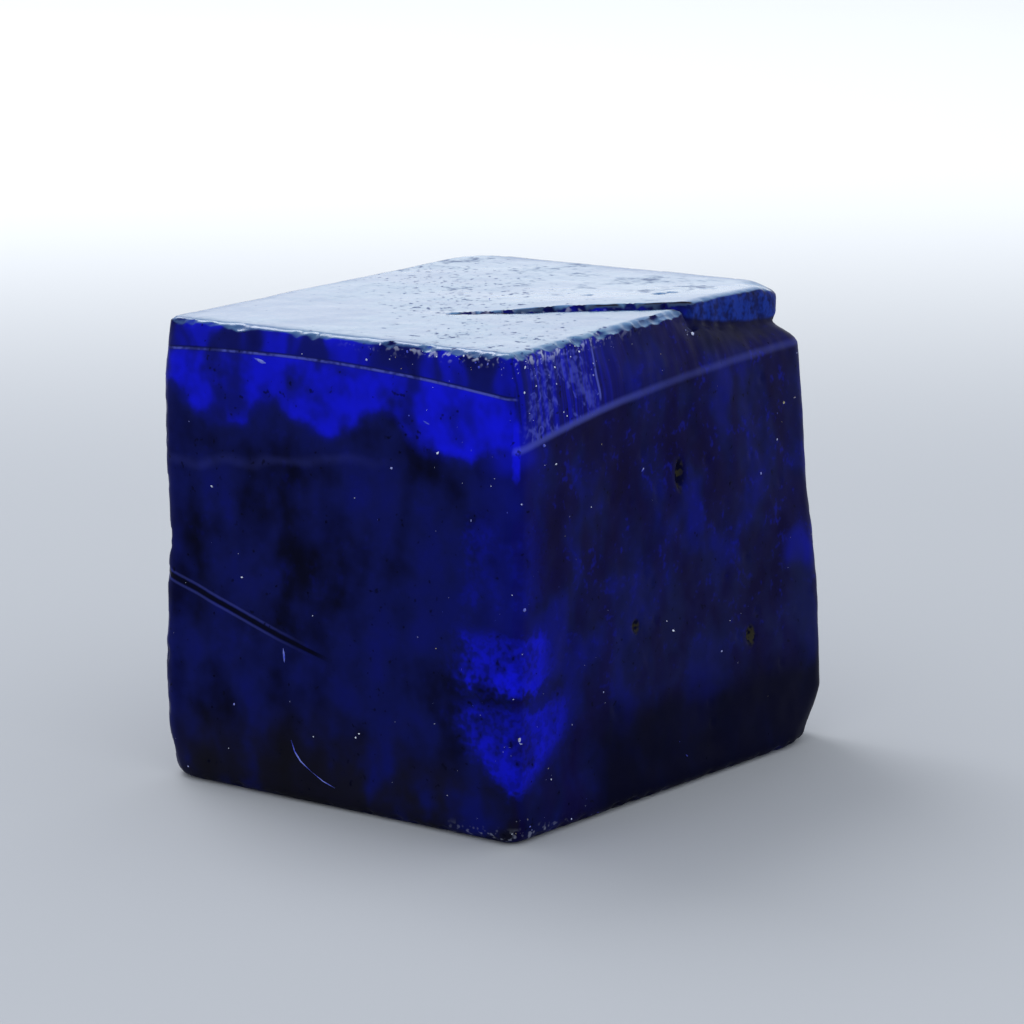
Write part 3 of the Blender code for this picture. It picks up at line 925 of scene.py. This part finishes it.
class TanzaniteStudio(bpy.types.PropertyGroup):
    floor: colour_setting("Floor", "The pale floor", (0.80, 0.82, 0.85))
    floor_shade: colour_setting("Floor shade", "The floor round the stone", (0.44, 0.46, 0.50))
    floor_near: length_setting("Shade ends", "Where the floor starts to pale", 0.06)
    floor_far: length_setting("Pale starts", "Where the floor is palest", 0.26)
    floor_squash: amount_setting("Shade squash", "How much slower the floor pales sideways", 0.3)
    horizon: amount_setting("Horizon", "Brightness low round the stone", 1.3)
    zenith: amount_setting("Zenith", "Brightness overhead", 0.85)
    key_power: bpy.props.FloatProperty(
        name="Key power", description="Soft lamp behind the stone", default=1.6, unit="POWER"
    )
    azimuth: bpy.props.FloatProperty(
        name="Azimuth", description="Camera's turn about the stone", default=radians(35.74), subtype="ANGLE"
    )
    elevation: bpy.props.FloatProperty(
        name="Elevation", description="Camera's height angle", default=radians(12.84), subtype="ANGLE"
    )
    distance: length_setting("Distance", "Camera to the stone's middle", 0.2123)
    aim: bpy.props.FloatVectorProperty(
        name="Aim",
        description="What the camera looks at",
        default=(0.0004, 0.0005, 0.01397),
        subtype="TRANSLATION",
    )
    lens: amount_setting("Lens", "Focal length in millimetres", 133.6)


# ---------------------------------------------------------------- operators


class TANZANITE_OT_skin(bpy.types.Operator):
    """Build the stone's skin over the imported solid"""

    bl_idname = "tanzanite.skin"
    bl_label = "Stone skin"

    def execute(self, context):
        settings = context.scene.tanzanite_skin
        skin = skin_object(settings)
        skin.data.materials.clear()
        skin.data.materials.append(skin_material(settings))
        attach(skin, "root")
        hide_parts(STONE)
        return {"FINISHED"}


class TANZANITE_OT_grains(bpy.types.Operator):
    """Scatter pale grains over the skin and draw the light marks on its scratched side"""

    bl_idname = "tanzanite.grains"
    bl_label = "Grains and marks"

    def execute(self, context):
        settings = context.scene.tanzanite_grains
        skin = bpy.data.objects["tanzanite_skin"]
        for piece in (grains_object(settings, skin), marks_object(settings, skin)):
            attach(piece, "root")
        return {"FINISHED"}


class TANZANITE_OT_veils(bpy.types.Operator):
    """Build the veils sealed in the stone"""

    bl_idname = "tanzanite.veils"
    bl_label = "Inner veils"

    def execute(self, context):
        veils = veils_object(context.scene.tanzanite_grains)
        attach(veils, "root")
        return {"FINISHED"}


class TANZANITE_OT_studio(bpy.types.Operator):
    """Set the pale floor, the soft light and the camera"""

    bl_idname = "tanzanite.studio"
    bl_label = "Studio"

    def execute(self, context):
        settings = context.scene.tanzanite_studio
        build_floor(settings)
        build_light(settings)
        build_camera(settings)
        context.scene.view_settings.view_transform = "Standard"
        return {"FINISHED"}


# The studio, in metres. The sky dims between these two heights of a unit direction.
FLOOR_RADIUS = 3.0
SKY_LOW, SKY_HIGH = 0.15, 0.75
SKY_COLOUR = (0.93, 0.965, 1.0, 1.0)
LAMP_PLACE, LAMP_AIM, LAMP_SIZE = (-0.35, 0.12, 0.5), (0, 0, 0.013), 0.3


def build_floor(settings):
    bpy.ops.mesh.primitive_circle_add(vertices=64, radius=FLOOR_RADIUS, fill_type="NGON")
    floor = bpy.context.object
    floor.name = "floor"
    g = Graph("pale_floor")
    # The shade reaches further sideways than in depth, so that the stone's sides mirror no pale floor.
    x, y, _ = g.split(g.place())
    side = (x * cos(settings.azimuth) + y * sin(settings.azimuth)) * settings.floor_squash
    depth = y * cos(settings.azimuth) - x * sin(settings.azimuth)
    away = g.power(side * side + depth * depth, 0.5)
    share = g.ease(away, settings.floor_near / MM, settings.floor_far / MM)
    colour = g.blend(share, settings.floor_shade, settings.floor)
    floor.data.materials.append(g.finish(Base_Color=colour, Roughness=0.9, Specular_IOR_Level=0.1))


def build_light(settings):
    world = bpy.data.worlds.new("soft_studio")
    world.use_nodes = True
    bpy.context.scene.world = world
    tree = world.node_tree
    coords = tree.nodes.new("ShaderNodeTexCoord")
    split = tree.nodes.new("ShaderNodeSeparateXYZ")
    climb = tree.nodes.new("ShaderNodeMapRange")
    climb.interpolation_type = "SMOOTHSTEP"
    climb.inputs["From Min"].default_value = SKY_LOW
    climb.inputs["From Max"].default_value = SKY_HIGH
    climb.inputs["To Min"].default_value = settings.horizon
    climb.inputs["To Max"].default_value = settings.zenith
    background = tree.nodes["Background"]
    background.inputs["Color"].default_value = SKY_COLOUR
    tree.links.new(coords.outputs["Generated"], split.inputs[0])
    tree.links.new(split.outputs["Z"], climb.inputs["Value"])
    tree.links.new(climb.outputs["Result"], background.inputs["Strength"])
    lamp = bpy.data.lights.new("back_lamp", "AREA")
    lamp.size = LAMP_SIZE
    lamp.energy = settings.key_power
    holder = bpy.data.objects.new("back_lamp", lamp)
    bpy.context.scene.collection.objects.link(holder)
    holder.location = LAMP_PLACE
    holder.rotation_euler = (Vector(LAMP_AIM) - holder.location).to_track_quat("-Z", "Y").to_euler()


def build_camera(settings):
    camera = bpy.data.objects.new("camera", bpy.data.cameras.new("camera"))
    bpy.context.scene.collection.objects.link(camera)
    turn, climb = settings.azimuth, settings.elevation
    back = Vector((sin(turn) * cos(climb), -cos(turn) * cos(climb), sin(climb)))
    camera.location = Vector(settings.aim) + back * settings.distance
    camera.rotation_euler = (-back).to_track_quat("-Z", "Y").to_euler()
    camera.data.lens = settings.lens
    camera.data.sensor_width = 36.0
    camera.data.clip_start = 0.01
    camera.data.clip_end = 20.0
    bpy.context.scene.camera = camera


class TANZANITE_PT_panel(bpy.types.Panel):
    bl_label = "Tanzanite"
    bl_idname = "TANZANITE_PT_panel"
    bl_space_type = "VIEW_3D"
    bl_region_type = "UI"
    bl_category = "Tanzanite"

    def draw(self, context):
        for operator in OPERATORS:
            self.layout.operator(operator.bl_idname)
        scene = context.scene
        for settings in (scene.tanzanite_skin, scene.tanzanite_grains, scene.tanzanite_studio):
            for name in settings.__annotations__:
                self.layout.prop(settings, name)


OPERATORS = (TANZANITE_OT_skin, TANZANITE_OT_grains, TANZANITE_OT_veils, TANZANITE_OT_studio)
CLASSES = (TanzaniteSkin, TanzaniteGrains, TanzaniteStudio, *OPERATORS, TANZANITE_PT_panel)


def register():
    for kind in CLASSES:
        bpy.utils.register_class(kind)
    bpy.types.Scene.tanzanite_skin = bpy.props.PointerProperty(type=TanzaniteSkin)
    bpy.types.Scene.tanzanite_grains = bpy.props.PointerProperty(type=TanzaniteGrains)
    bpy.types.Scene.tanzanite_studio = bpy.props.PointerProperty(type=TanzaniteStudio)


def unregister():
    del bpy.types.Scene.tanzanite_skin
    del bpy.types.Scene.tanzanite_grains
    del bpy.types.Scene.tanzanite_studio
    for kind in reversed(CLASSES):
        bpy.utils.unregister_class(kind)


def main():
    register()
    bpy.ops.tanzanite.studio()
    bpy.ops.tanzanite.skin()
    bpy.ops.tanzanite.grains()
    bpy.ops.tanzanite.veils()


if __name__ == "__main__":
    main()
